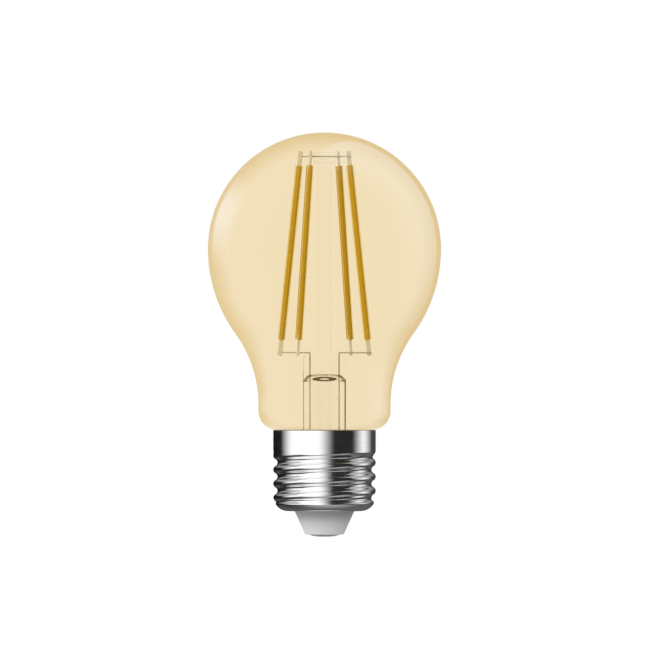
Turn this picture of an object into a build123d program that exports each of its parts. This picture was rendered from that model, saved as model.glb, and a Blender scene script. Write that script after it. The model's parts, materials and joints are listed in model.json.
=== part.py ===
from build123d import *
from math import asin, cos, degrees, hypot, pi, radians, sin, sqrt
import os

# Filament smart lamp: A60 glass bulb on an E27 screw cap, with its driver and radio inside the cap.
# Millimetres. The origin is the tip of the centre contact, +Z runs along the lamp's axis towards the
# top of the glass, and the lamp is seen from the front when looking along +Y.

os.makedirs("parts", exist_ok=True)

# ---------------------------------------------------------------- driving dimensions
LAMP_LENGTH = 104.0
BULB_RADIUS = 30.0
FLANK_RADIUS = 37.0  # convex arc that takes the bulb in below its widest line
NECK_RADIUS = 17.0
NECK_Z = 34.0
SHOULDER_RADIUS = 5.0
SHOULDER_Z = 32.4
SEAL_NECK_RADIUS = 10.9  # the glass neck inside the cap
SEAL_NECK_FOOT_Z = 21.0
GLASS_WALL = 0.8
EQUATOR_Z = LAMP_LENGTH - BULB_RADIUS

# E27 cap: knuckle thread rolled in sheet metal
CREST_RADIUS = 13.2
THREAD_DEPTH = 1.095
THREAD_PITCH = 3.629
THREAD_ARC = 1.025
SHEET = 0.3
CAP_RIM_Z = 27.42
THREAD_TOP_Z = 22.4
THREAD_FULL_TOP_Z = 19.6
THREAD_FULL_FOOT_Z = 9.6
THREAD_FOOT_Z = 8.2
CREST_Z = 11.8  # height of one crest on the +X side
CUP_ARC = 3.8
CUP_CENTRE_R = 9.4
CAP_FOOT_Z = 6.6
CUP_CENTRE_Z = CAP_FOOT_Z + CUP_ARC
LIP_RADIUS = 7.2
SECTIONS_PER_HALF = 12
POINTS_PER_SECTION = 36
JOIN_TOLERANCE = 1e-3

# glass stem
STEM_RADIUS = 5.5
STEM_BORE = 4.5
STEM_FOOT_Z = 27.6
PRESS_FOOT_Z = 40.2
PRESS_FLAT_Z = 43.4
PRESS_TOP_Z = 46.85
PRESS_HALF_DEPTH = 2.9
PRESS_EDGE = 1.45
DOME_ARC = 1.6
TUBE_RADIUS = 1.75
TUBE_BORE = 1.15
TUBE_TIP_Z = 17.6
POST_RADIUS = 1.73
BEAD_RADIUS = 3.0
BEAD_FOOT_Z = 96.25
BEAD_TOP_Z = 98.95

BEAD_EDGE = 0.9
PORT_RISE = 1.4  # the exhaust port's height above the dome
PORT_RADIUS = 0.8 * TUBE_BORE

# wires that carry the filaments
WIRE_RADIUS = 0.17
LEAD_X = 3.75
DUMET_FOOT_Z = 41.9
DUMET_TOP_Z = 46.3
LOWER_WIRE_Z = 47.35
UPPER_WIRE_Z = 97.84
WIRE_OVERHANG = 0.9
WIRE_BEND = 0.7
LEAD_BEND = 0.45

# filaments: four strips that lean in towards the top
FILAMENT_COUNT = 4
FIRST_AZIMUTH = -32.0
LOWER_REACH = 13.32  # distance of the strips from the axis at the lower wires
UPPER_REACH = 7.21
COAT_FOOT_Z = 50.7
COAT_TOP_Z = 95.5
COAT_WIDTH = 1.6
COAT_DEPTH = 1.3
COAT_EDGE = 0.35
STRIP_WIDTH = 1.0
STRIP_THICKNESS = 0.3
TAB_WIDTH = 1.15
TAB_THICKNESS = 0.2
TAB_GRIP = 1.2
LOWER_TAB_TAIL = 0.8
UPPER_TAB_TAIL = 1.4
CHIP_COUNT = 28
CHIP_LENGTH, CHIP_WIDTH, CHIP_HEIGHT = 0.6, 0.35, 0.15

# cap insulator and centre contact
CONTACT_RADIUS = 4.1
CONTACT_FLAT = 1.25
CONTACT_RIM_Z = 0.57
CONTACT_SEAT_Z = 1.0
SHANK_RADIUS = 1.5
SHANK_TOP_Z = 9.0
CONE_FOOT_RADIUS = 4.95
CONE_EDGE = 0.35
CONE_TOP_RADIUS = 7.7
FLANGE_RADIUS = 9.3
FLANGE_TOP_Z = 7.9
BOSS_RADIUS = 2.8
BOSS_TOP_Z = 9.3
POST_CIRCLE = 8.2
POST_COUNT = 3
FIRST_POST = 30.0
BOARD_POST_RADIUS = 0.9
BOARD_PIN_RADIUS = 0.5
BOARD_PIN_RISE = 0.5
BOARD_PIN_PLAY = 0.05

# cap wiring and cement
CEMENT_FOOT_Z = 23.6
CEMENT_HEIGHT = 2.6
SLEEVE_RADIUS = 0.5
CONTACT_BORE_DEPTH = 1.5
TAIL_BELOW_BOARD = 0.5
SOLDER_FOOT_Z = 22.5
SOLDER_HEIGHT = 0.9
SOLDER_WIDTH = 1.3
SOLDER_CORNER = 0.3

# driver board
BOARD_RADIUS = 10.8
BOARD_FOOT_Z = 13.4
BOARD_TOP_Z = 14.4
HOLE_RADIUS = 0.3
NEUTRAL_Y = 9.9
NEUTRAL_WALL_Y = 11.4
LIVE_XY = (1.6, -1.6)
RADIO_Y = -6.6
RADIO_WIDTH, RADIO_THICKNESS, RADIO_TOP_Z = 10.0, 0.8, 21.6
HEADER_PINS = 5
HEADER_PITCH = 2.0
HEADER_PIN_LENGTH = 3.6
HEADER_Y = RADIO_Y - RADIO_THICKNESS / 2 - WIRE_RADIUS


def save(part, name):
    """Labels one finished piece and writes its STEP file."""
    part.label = name
    export_step(part, f"parts/{name}.step")


# ---------------------------------------------------------------- glass envelope
# The throat arc is the one that touches both the flank arc and the straight neck.
FLANK_X = BULB_RADIUS - FLANK_RADIUS
NECK_TO_FLANK = NECK_RADIUS - FLANK_X
DROP = EQUATOR_Z - NECK_Z
THROAT_RADIUS = (NECK_TO_FLANK**2 + DROP**2 - FLANK_RADIUS**2) / (2 * (FLANK_RADIUS - NECK_TO_FLANK))
FLANK_ANGLE = degrees(asin(DROP / (FLANK_RADIUS + THROAT_RADIUS)))
TUCK_RADIUS = NECK_RADIUS - SHOULDER_RADIUS - SEAL_NECK_RADIUS


def envelope_outline(inset):
    """Half section of the bulb from crown to foot, moved inwards by inset; returns both ends."""
    crown = CenterArc((0, EQUATOR_Z), BULB_RADIUS - inset, 90, -90)
    CenterArc((FLANK_X, EQUATOR_Z), FLANK_RADIUS - inset, 0, -FLANK_ANGLE)
    CenterArc((NECK_RADIUS + THROAT_RADIUS, NECK_Z), THROAT_RADIUS + inset, 180 - FLANK_ANGLE, FLANK_ANGLE)
    Line((NECK_RADIUS - inset, NECK_Z), (NECK_RADIUS - inset, SHOULDER_Z))
    shoulder_x = NECK_RADIUS - SHOULDER_RADIUS
    CenterArc((shoulder_x, SHOULDER_Z), SHOULDER_RADIUS - inset, 0, -90)
    tuck_z = SHOULDER_Z - SHOULDER_RADIUS - TUCK_RADIUS
    CenterArc((shoulder_x, tuck_z), TUCK_RADIUS + inset, 90, 90)
    foot = Line((SEAL_NECK_RADIUS - inset, tuck_z), (SEAL_NECK_RADIUS - inset, SEAL_NECK_FOOT_Z))
    return crown @ 0, foot @ 1


with BuildPart() as glass_envelope:
    with BuildSketch(Plane.XZ):
        with BuildLine():
            outer_top, outer_foot = envelope_outline(0)
            inner_top, inner_foot = envelope_outline(GLASS_WALL)
            Line(outer_foot, inner_foot)
            Line(outer_top, inner_top)
        make_face()
    revolve(axis=Axis.Z)
save(glass_envelope.part, "glass_envelope")

# ---------------------------------------------------------------- glass stem
with BuildPart() as stem_flare:
    with BuildSketch(Plane.XZ):
        with BuildLine():
            rim_r = SEAL_NECK_RADIUS - GLASS_WALL
            outside = CenterArc((rim_r, STEM_FOOT_Z), rim_r - STEM_RADIUS, 180, 90)
            inside = CenterArc((rim_r, STEM_FOOT_Z), rim_r - STEM_BORE, 180, 90)
            Line(outside @ 1, inside @ 1)
            Line(outside @ 0, (STEM_RADIUS, PRESS_FOOT_Z))
            Line((STEM_RADIUS, PRESS_FOOT_Z), (STEM_BORE, PRESS_FOOT_Z))
            Line((STEM_BORE, PRESS_FOOT_Z), inside @ 0)
        make_face()
    revolve(axis=Axis.Z)
save(stem_flare.part, "stem_flare")

DOME_FLAT = STEM_BORE - DOME_ARC
DOME_TOP_Z = PRESS_FOOT_Z + DOME_ARC
PORT_Z = DOME_TOP_Z + PORT_RISE

with BuildPart() as stem_press:
    with BuildSketch(Plane.XY.offset(PRESS_FOOT_Z)):
        Ellipse(STEM_RADIUS, STEM_RADIUS - 0.001)
    with BuildSketch(Plane.XY.offset(PRESS_FLAT_Z)):
        Ellipse(STEM_RADIUS, PRESS_HALF_DEPTH)
    loft(ruled=True)
    with BuildSketch(Plane.XY.offset(PRESS_FLAT_Z)):
        Ellipse(STEM_RADIUS, PRESS_HALF_DEPTH)
    extrude(amount=PRESS_TOP_Z - PRESS_FLAT_Z)
    fillet(stem_press.faces().sort_by(Axis.Z)[-1].edges(), radius=PRESS_EDGE)
    with BuildSketch(Plane.XZ):
        with BuildLine():
            Line((0, PRESS_FOOT_Z), (STEM_BORE, PRESS_FOOT_Z))
            CenterArc((DOME_FLAT, PRESS_FOOT_Z), DOME_ARC, 0, 90)
            Line((DOME_FLAT, DOME_TOP_Z), (0, DOME_TOP_Z))
            Line((0, DOME_TOP_Z), (0, PRESS_FOOT_Z))
        make_face()
    revolve(axis=Axis.Z, mode=Mode.SUBTRACT)
    # the exhaust port: up from the tube, then out through the back of the press
    with BuildSketch(Plane.XY.offset(DOME_TOP_Z)):
        Circle(TUBE_BORE)
    extrude(amount=PORT_Z - DOME_TOP_Z, mode=Mode.SUBTRACT)
    with BuildSketch(Plane.XZ):
        with Locations((0, PORT_Z)):
            Circle(PORT_RADIUS)
    extrude(amount=-STEM_RADIUS, mode=Mode.SUBTRACT)
    with BuildSketch(Plane.XY.offset(PRESS_FOOT_Z)):
        with Locations((-LEAD_X, 0), (LEAD_X, 0)):
            Circle(WIRE_RADIUS)
    extrude(amount=PRESS_TOP_Z - PRESS_FOOT_Z, mode=Mode.SUBTRACT)
save(stem_press.part, "stem_press")

FLARE_ARC = DOME_FLAT - TUBE_RADIUS
TIP_CONE = 2.2

with BuildPart() as exhaust_tube:
    with BuildSketch(Plane.XZ):
        with BuildLine():
            CenterArc((DOME_FLAT, DOME_TOP_Z - FLARE_ARC), FLARE_ARC, 90, 90)
            Line((TUBE_RADIUS, DOME_TOP_Z - FLARE_ARC), (TUBE_RADIUS, TUBE_TIP_Z + TIP_CONE))
            Line((TUBE_RADIUS, TUBE_TIP_Z + TIP_CONE), (0, TUBE_TIP_Z))
            Line((0, TUBE_TIP_Z), (0, TUBE_TIP_Z + TIP_CONE / 2))
            Line((0, TUBE_TIP_Z + TIP_CONE / 2), (TUBE_BORE, TUBE_TIP_Z + TIP_CONE))
            Line((TUBE_BORE, TUBE_TIP_Z + TIP_CONE), (TUBE_BORE, DOME_TOP_Z))
            Line((TUBE_BORE, DOME_TOP_Z), (DOME_FLAT, DOME_TOP_Z))
        make_face()
    revolve(axis=Axis.Z)
save(exhaust_tube.part, "exhaust_tube")

with BuildPart() as support_post:
    with BuildSketch(Plane.XY.offset(PRESS_TOP_Z)):
        Circle(POST_RADIUS)
    extrude(amount=BEAD_FOOT_Z - PRESS_TOP_Z)
save(support_post.part, "support_post")


# ---------------------------------------------------------------- wires
def around(azimuth, reach, height):
    """The point at a distance from the lamp's axis, at an azimuth in degrees and a height."""
    return Vector(reach * cos(radians(azimuth)), reach * sin(radians(azimuth)), height)


def wire_along(points, bends, radius=WIRE_RADIUS, bore=0.0):
    """A round wire, or with a bore a sleeve, swept along straight runs joined by arcs."""
    with BuildPart() as wire:
        with BuildLine() as path:
            if bends:
                FilletPolyline(*points, radius=bends)
            else:
                Line(*points)
        with BuildSketch(Plane(origin=path.line @ 0, z_dir=path.line % 0)):
            Circle(radius)
            if bore:
                Circle(bore, mode=Mode.SUBTRACT)
        sweep()
    return wire.part


azimuths = [FIRST_AZIMUTH + 360 / FILAMENT_COUNT * k for k in range(FILAMENT_COUNT)]
FRONT_RIGHT, BACK_RIGHT, BACK_LEFT, FRONT_LEFT = azimuths
APPROACH = 2.0  # the last stretch of a lower wire points straight out

lead_sides = {"left": (-LEAD_X, BACK_LEFT, FRONT_LEFT), "right": (LEAD_X, FRONT_RIGHT, BACK_RIGHT)}
for side, (lead_x, lead_azimuth, jumper_azimuth) in lead_sides.items():
    inner_lead = wire_along(
        [
            (lead_x, 0, DUMET_TOP_Z),
            (lead_x, 0, LOWER_WIRE_Z),
            around(lead_azimuth, LOWER_REACH - APPROACH, LOWER_WIRE_Z),
            around(lead_azimuth, LOWER_REACH + WIRE_OVERHANG, LOWER_WIRE_Z),
        ],
        LEAD_BEND,
    )
    save(inner_lead, f"inner_lead_{side}")
    jumper_run = wire_along(
        [
            (lead_x, 0, LOWER_WIRE_Z),
            around(jumper_azimuth, LOWER_REACH - APPROACH, LOWER_WIRE_Z),
            around(jumper_azimuth, LOWER_REACH + WIRE_OVERHANG, LOWER_WIRE_Z),
        ],
        LEAD_BEND,
    )
    with BuildPart() as jumper:
        add(jumper_run)
        add(inner_lead, mode=Mode.SUBTRACT)
        # the weld trims the jumper's end to the lead; only the long piece stays
    save(jumper.part.solids().sort_by(SortBy.VOLUME)[-1], f"jumper_{side}")
    save(wire_along([(lead_x, 0, DUMET_FOOT_Z), (lead_x, 0, DUMET_TOP_Z)], None), f"dumet_seal_{side}")
    save(
        wire_along([(lead_x, 0, BOARD_FOOT_Z - TAIL_BELOW_BOARD), (lead_x, 0, DUMET_FOOT_Z)], None),
        f"outer_lead_{side}",
    )

DIP = 0.7  # the lower top wire passes this far under the upper one
DIP_OUTER, DIP_INNER = 2.3, 1.1
TOP_REACH = UPPER_REACH + WIRE_OVERHANG
top_wire_straight = wire_along(
    [around(BACK_LEFT, TOP_REACH, UPPER_WIRE_Z), around(FRONT_RIGHT, TOP_REACH, UPPER_WIRE_Z)], None
)
top_wire_dipped = wire_along(
    [
        around(FRONT_LEFT, TOP_REACH, UPPER_WIRE_Z),
        around(FRONT_LEFT, DIP_OUTER, UPPER_WIRE_Z),
        around(FRONT_LEFT, DIP_INNER, UPPER_WIRE_Z - DIP),
        around(BACK_RIGHT, DIP_INNER, UPPER_WIRE_Z - DIP),
        around(BACK_RIGHT, DIP_OUTER, UPPER_WIRE_Z),
        around(BACK_RIGHT, TOP_REACH, UPPER_WIRE_Z),
    ],
    WIRE_BEND,
)
save(top_wire_straight, "top_wire_straight")
save(top_wire_dipped, "top_wire_dipped")

with BuildPart() as top_bead:
    with BuildSketch(Plane.XY.offset(BEAD_FOOT_Z)):
        Circle(BEAD_RADIUS)
    extrude(amount=BEAD_TOP_Z - BEAD_FOOT_Z)
    fillet(top_bead.edges().filter_by(GeomType.CIRCLE), radius=BEAD_EDGE)
    add(top_wire_straight, mode=Mode.SUBTRACT)
    add(top_wire_dipped, mode=Mode.SUBTRACT)
save(top_bead.part, "top_bead")

# ---------------------------------------------------------------- filaments
# Each strip's flat side stands in the plane through the lamp's axis, and its tabs lie against the
# sides of the wires, so the whole strip is moved sideways by half a wire and half a tab.
SIDE_STEP = WIRE_RADIUS + TAB_THICKNESS / 2
LEAN = hypot(LOWER_REACH - UPPER_REACH, UPPER_WIRE_Z - LOWER_WIRE_Z)
ALONG = LEAN / (UPPER_WIRE_Z - LOWER_WIRE_Z)  # length along a strip for each millimetre of height
COAT_FOOT = (COAT_FOOT_Z - LOWER_WIRE_Z) * ALONG
COAT_TOP = (COAT_TOP_Z - LOWER_WIRE_Z) * ALONG
STRIP_FOOT = COAT_FOOT + TAB_GRIP
STRIP_TOP = COAT_TOP - TAB_GRIP
CHIP_STEP = (STRIP_TOP - STRIP_FOOT) / CHIP_COUNT


def filament_plane(azimuth, along):
    """Plane across a filament, so far up it; its X is the strip's width and its Y the thickness."""
    foot = around(azimuth, LOWER_REACH, LOWER_WIRE_Z)
    top = around(azimuth, UPPER_REACH, UPPER_WIRE_Z)
    upwards = (top - foot).normalized()
    sideways = Vector(-sin(radians(azimuth)), cos(radians(azimuth)), 0)
    outwards = sideways.cross(upwards)
    return Plane(origin=foot + upwards * along + sideways * SIDE_STEP, x_dir=outwards, z_dir=upwards)


def bar(plane, width, thickness, length, shift=0.0):
    """A rectangular bar that starts on a plane; shift moves it along the plane's Y."""
    with BuildPart() as piece:
        with BuildSketch(plane):
            with Locations((0, shift)):
                Rectangle(width, thickness)
        extrude(amount=length)
    return piece.part


for number, azimuth in enumerate(azimuths, start=1):
    strip = bar(filament_plane(azimuth, STRIP_FOOT), STRIP_WIDTH, STRIP_THICKNESS, STRIP_TOP - STRIP_FOOT)
    lower_tab = bar(
        filament_plane(azimuth, -LOWER_TAB_TAIL), TAB_WIDTH, TAB_THICKNESS, STRIP_FOOT + LOWER_TAB_TAIL
    )
    upper_tab = bar(
        filament_plane(azimuth, STRIP_TOP), TAB_WIDTH, TAB_THICKNESS, LEAN + UPPER_TAB_TAIL - STRIP_TOP
    )
    chip_shift = (STRIP_THICKNESS + CHIP_HEIGHT) / 2
    with BuildPart() as chips:
        for k in range(CHIP_COUNT):
            start = STRIP_FOOT + CHIP_STEP * (k + 0.5) - CHIP_LENGTH / 2
            with BuildSketch(filament_plane(azimuth, start)):
                with Locations((0, chip_shift)):
                    Rectangle(CHIP_WIDTH, CHIP_HEIGHT)
            extrude(amount=CHIP_LENGTH)
    with BuildPart() as coat:
        with BuildSketch(filament_plane(azimuth, COAT_FOOT)):
            RectangleRounded(COAT_WIDTH, COAT_DEPTH, COAT_EDGE)
        extrude(amount=COAT_TOP - COAT_FOOT)
        for inside_piece in (strip, lower_tab, upper_tab, chips.part):
            add(inside_piece, mode=Mode.SUBTRACT)
    save(strip, f"filament_{number}_strip")
    save(chips.part, f"filament_{number}_chips")
    save(coat.part, f"filament_{number}_coat")
    save(lower_tab, f"filament_{number}_lower_tab")
    save(upper_tab, f"filament_{number}_upper_tab")


# ---------------------------------------------------------------- screw shell
def groove(turns):
    """Depth of the thread below its crest, turns from a crest: circular arcs of one radius."""
    from_crest = abs((turns + 0.5) % 1.0 - 0.5) * THREAD_PITCH
    if from_crest < THREAD_PITCH / 4:
        return THREAD_ARC - sqrt(THREAD_ARC**2 - from_crest**2)
    from_root = THREAD_PITCH / 2 - from_crest
    return THREAD_DEPTH - THREAD_ARC + sqrt(THREAD_ARC**2 - from_root**2)


def ease(start, end, value):
    """0 at start, 1 at end and smooth between them."""
    share = min(1.0, max(0.0, (value - start) / (end - start)))
    return share * share * (3 - 2 * share)


def cap_radius(height, turn):
    """Outside of the cap at a height, on the half plane so many turns round from +X."""
    body = CREST_RADIUS
    if height < CUP_CENTRE_Z:
        body = CUP_CENTRE_R + sqrt(CUP_ARC**2 - (CUP_CENTRE_Z - height) ** 2)
    run_out = ease(THREAD_TOP_Z, THREAD_FULL_TOP_Z, height) * ease(THREAD_FOOT_Z, THREAD_FULL_FOOT_Z, height)
    return body - run_out * groove((height - CREST_Z) / THREAD_PITCH - turn)


def cap_section(turn):
    """Points down the outside of the sheet at one turn, and those one sheet further in."""
    nudge = 1e-4
    outside, inside = [], []
    for k in range(POINTS_PER_SECTION + 1):
        height = THREAD_TOP_Z + (THREAD_FOOT_Z - THREAD_TOP_Z) * k / POINTS_PER_SECTION
        radius = cap_radius(height, turn)
        slope = (cap_radius(height + nudge, turn) - cap_radius(height - nudge, turn)) / (2 * nudge)
        if k == 0:
            slope = 0.0
        share = SHEET / hypot(1, slope)
        outside.append((radius, height))
        inside.append((radius - share, height + share * slope))
    return outside, inside


CUP_MIDDLE = radians(30)


def cup_point(arc, angle):
    """Point on one of the cup's arcs, an angle round from straight down."""
    return CUP_CENTRE_R + arc * sin(angle), CUP_CENTRE_Z - arc * cos(angle)


# The thread, the cup below it and the lip that holds the insulator are one section, lofted round.
with BuildPart() as thread_band:
    for half in (0, 0.5):
        for k in range(SECTIONS_PER_HALF + 1):
            turn = half + 0.5 * k / SECTIONS_PER_HALF
            angle = 2 * pi * turn
            outwards = (cos(angle), sin(angle), 0)
            across = Plane(origin=(0, 0, 0), x_dir=outwards, z_dir=(sin(angle), -cos(angle), 0))
            outside, inside = cap_section(turn)
            with BuildSketch(across):
                with BuildLine():
                    Spline(*outside)
                    ThreePointArc(outside[-1], cup_point(CUP_ARC, CUP_MIDDLE), (CUP_CENTRE_R, CAP_FOOT_Z))
                    Polyline(
                        (CUP_CENTRE_R, CAP_FOOT_Z),
                        (LIP_RADIUS, CAP_FOOT_Z),
                        (LIP_RADIUS, CAP_FOOT_Z + SHEET),
                        (CUP_CENTRE_R, CAP_FOOT_Z + SHEET),
                    )
                    ThreePointArc(
                        (CUP_CENTRE_R, CAP_FOOT_Z + SHEET), cup_point(CUP_ARC - SHEET, CUP_MIDDLE), inside[-1]
                    )
                    Spline(*reversed(inside))
                    Line(inside[0], outside[0])
                make_face()
        loft()

with BuildPart() as skirt_ring:
    with BuildSketch(Plane.XZ):
        with Locations((CREST_RADIUS - SHEET / 2, (CAP_RIM_Z + THREAD_TOP_Z) / 2)):
            Rectangle(SHEET, CAP_RIM_Z - THREAD_TOP_Z)
    revolve(axis=Axis.Z)

with BuildPart() as screw_shell:
    add(thread_band.part.fuse(skirt_ring.part, tol=JOIN_TOLERANCE))
save(screw_shell.part, "screw_shell")

# ---------------------------------------------------------------- cement, insulator and contact
with BuildPart() as cap_cement:
    with BuildSketch(Plane.XY.offset(CEMENT_FOOT_Z)):
        Circle(CREST_RADIUS - SHEET)
        Circle(SEAL_NECK_RADIUS, mode=Mode.SUBTRACT)
    extrude(amount=CEMENT_HEIGHT)
save(cap_cement.part, "cap_cement")

with BuildPart() as cap_insulator:
    with BuildSketch(Plane.XZ):
        with BuildLine():
            Polyline(
                (SHANK_RADIUS, CONTACT_SEAT_Z),
                (CONTACT_RADIUS, CONTACT_SEAT_Z),
                (CONTACT_RADIUS, CONTACT_RIM_Z),
                (CONE_FOOT_RADIUS, CONTACT_RIM_Z),
                (CONE_TOP_RADIUS, CAP_FOOT_Z),
                (LIP_RADIUS, CAP_FOOT_Z),
                (LIP_RADIUS, CAP_FOOT_Z + SHEET),
                (FLANGE_RADIUS, CAP_FOOT_Z + SHEET),
                (FLANGE_RADIUS, FLANGE_TOP_Z),
                (BOSS_RADIUS, FLANGE_TOP_Z),
                (BOSS_RADIUS, BOSS_TOP_Z),
                (SHANK_RADIUS, BOSS_TOP_Z),
                close=True,
            )
        make_face()
    revolve(axis=Axis.Z)
    rim_edges = cap_insulator.edges().filter_by(GeomType.CIRCLE).group_by(Axis.Z)[0]
    fillet(rim_edges.sort_by(SortBy.RADIUS)[-1], radius=CONE_EDGE)
    with BuildSketch(Plane.XY.offset(FLANGE_TOP_Z)):
        with PolarLocations(POST_CIRCLE, POST_COUNT, start_angle=FIRST_POST):
            Circle(BOARD_POST_RADIUS)
    extrude(amount=BOARD_FOOT_Z - FLANGE_TOP_Z)
    with BuildSketch(Plane.XY.offset(BOARD_FOOT_Z)):
        with PolarLocations(POST_CIRCLE, POST_COUNT, start_angle=FIRST_POST):
            Circle(BOARD_PIN_RADIUS)
    extrude(amount=BOARD_TOP_Z - BOARD_FOOT_Z + BOARD_PIN_RISE)
save(cap_insulator.part, "cap_insulator")

# The contact's underside is flat in the middle, then one arc up to its rim.
CONTACT_RUN = CONTACT_RADIUS - CONTACT_FLAT
CONTACT_ARC = (CONTACT_RUN**2 + CONTACT_RIM_Z**2) / (2 * CONTACT_RIM_Z)
CONTACT_SWEEP = 2 * degrees(asin(CONTACT_RIM_Z / hypot(CONTACT_RUN, CONTACT_RIM_Z)))

with BuildPart() as centre_contact:
    with BuildSketch(Plane.XZ):
        with BuildLine():
            Line((0, 0), (CONTACT_FLAT, 0))
            JernArc((CONTACT_FLAT, 0), (1, 0), CONTACT_ARC, CONTACT_SWEEP)
            Polyline(
                (CONTACT_RADIUS, CONTACT_RIM_Z),
                (CONTACT_RADIUS, CONTACT_SEAT_Z),
                (SHANK_RADIUS, CONTACT_SEAT_Z),
                (SHANK_RADIUS, SHANK_TOP_Z),
                (WIRE_RADIUS, SHANK_TOP_Z),
                (WIRE_RADIUS, SHANK_TOP_Z - CONTACT_BORE_DEPTH),
                (0, SHANK_TOP_Z - CONTACT_BORE_DEPTH),
                (0, 0),
            )
        make_face()
    revolve(axis=Axis.Z)
save(centre_contact.part, "centre_contact")

# ---------------------------------------------------------------- cap wiring
live_foot_z = SHANK_TOP_Z - CONTACT_BORE_DEPTH
live_route = [(0, 0, live_foot_z), (0, 0, 10.4), (*LIVE_XY, 11.8), (*LIVE_XY, BOARD_TOP_Z)]
sleeve_top_z = BOARD_FOOT_Z - 0.7
live_sleeve_route = [(0, 0, BOSS_TOP_Z), *live_route[1:3], (*LIVE_XY, sleeve_top_z)]
neutral_route = [
    (0, NEUTRAL_Y, BOARD_FOOT_Z - TAIL_BELOW_BOARD),
    (0, NEUTRAL_Y, 16.0),
    (0, NEUTRAL_WALL_Y, 18.6),
    (0, NEUTRAL_WALL_Y, 23.3),
]
neutral_wire = wire_along(neutral_route, WIRE_BEND)
save(wire_along(live_route, WIRE_BEND), "live_wire")
live_wire_sleeve = wire_along(live_sleeve_route, WIRE_BEND, radius=SLEEVE_RADIUS, bore=WIRE_RADIUS)
save(live_wire_sleeve, "live_wire_sleeve")
save(neutral_wire, "neutral_wire")

with BuildPart() as neutral_solder:
    with BuildSketch(Plane.XY.offset(SOLDER_FOOT_Z)):
        Circle(CREST_RADIUS - SHEET)
        Circle(NEUTRAL_WALL_Y, mode=Mode.SUBTRACT)
        with Locations((0, CREST_RADIUS)):
            Rectangle(SOLDER_WIDTH, CREST_RADIUS, mode=Mode.INTERSECT)
    extrude(amount=SOLDER_HEIGHT)
    fillet(neutral_solder.edges().filter_by(Axis.Z).group_by(Axis.Y)[0], radius=SOLDER_CORNER)
    add(neutral_wire, mode=Mode.SUBTRACT)
save(neutral_solder.part, "neutral_solder")

# ---------------------------------------------------------------- driver board and its components
header_points = [((k - (HEADER_PINS - 1) / 2) * HEADER_PITCH, HEADER_Y) for k in range(HEADER_PINS)]
through_wires = [(-LEAD_X, 0), (LEAD_X, 0), LIVE_XY, (0, NEUTRAL_Y)]
header_clear = [point for point in header_points if abs(point[0]) > 1.0]

with BuildPart() as driver_board:
    with BuildSketch(Plane.XY.offset(BOARD_FOOT_Z)):
        Circle(BOARD_RADIUS)
        with PolarLocations(POST_CIRCLE, POST_COUNT, start_angle=FIRST_POST):
            Circle(BOARD_PIN_RADIUS + BOARD_PIN_PLAY, mode=Mode.SUBTRACT)
        with Locations(*through_wires, *header_clear):
            Circle(HOLE_RADIUS, mode=Mode.SUBTRACT)
    extrude(amount=BOARD_TOP_Z - BOARD_FOOT_Z)
save(driver_board.part, "driver_board")

JOINT_FOOT_RADIUS, JOINT_TIP_RADIUS, JOINT_DROP = 0.75, 0.35, 0.45

with BuildPart() as solder_joints:
    with BuildSketch(Plane.XZ):
        with BuildLine():
            Polyline(
                (WIRE_RADIUS, BOARD_FOOT_Z),
                (JOINT_FOOT_RADIUS, BOARD_FOOT_Z),
                (JOINT_TIP_RADIUS, BOARD_FOOT_Z - JOINT_DROP),
                (WIRE_RADIUS, BOARD_FOOT_Z - JOINT_DROP),
                close=True,
            )
        make_face()
    joint = revolve(axis=Axis.Z, mode=Mode.PRIVATE)
    with Locations(*[(x, y, 0) for x, y in through_wires + header_clear]):
        add(joint)
save(solder_joints.part, "solder_joints")

with BuildPart() as header_pins:
    with BuildSketch(Plane.XY.offset(BOARD_FOOT_Z - TAIL_BELOW_BOARD)):
        with Locations(*header_clear):
            Circle(WIRE_RADIUS)
    extrude(amount=HEADER_PIN_LENGTH)
save(header_pins.part, "header_pins")

with BuildPart() as radio_board:
    with BuildSketch(Plane.XY.offset(BOARD_TOP_Z)):
        with Locations((0, RADIO_Y)):
            Rectangle(RADIO_WIDTH, RADIO_THICKNESS)
    extrude(amount=RADIO_TOP_Z - BOARD_TOP_Z)
save(radio_board.part, "radio_board")

RADIO_FACE_Y = RADIO_Y + RADIO_THICKNESS / 2
CHIP_SIZE, CHIP_THICK, RADIO_CHIP_Z = 3.6, 0.8, 17.3
CAN_WIDTH, CAN_HEIGHT, CAN_DEPTH, CAN_SHEET = 6.4, 4.4, 1.3, 0.15

with BuildPart() as radio_chip:
    with BuildSketch(Plane.XZ.offset(-RADIO_FACE_Y)):
        with Locations((0, RADIO_CHIP_Z)):
            Rectangle(CHIP_SIZE, CHIP_SIZE)
    extrude(amount=-CHIP_THICK)
save(radio_chip.part, "radio_chip")

with BuildPart() as radio_shield:
    with BuildSketch(Plane.XZ.offset(-RADIO_FACE_Y)):
        with Locations((0, RADIO_CHIP_Z)):
            Rectangle(CAN_WIDTH, CAN_HEIGHT)
    extrude(amount=-CAN_DEPTH)
    open_face = radio_shield.faces().sort_by(Axis.Y)[0]
    offset(amount=-CAN_SHEET, openings=open_face)
save(radio_shield.part, "radio_shield")

TRACE, TRACE_GAP, TRACE_COUNT, TRACE_RISE = 0.35, 0.55, 8, 1.4
TRACE_THICKNESS = 0.1
TRACE_Z = RADIO_TOP_Z - 0.3 - TRACE_RISE / 2

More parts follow.
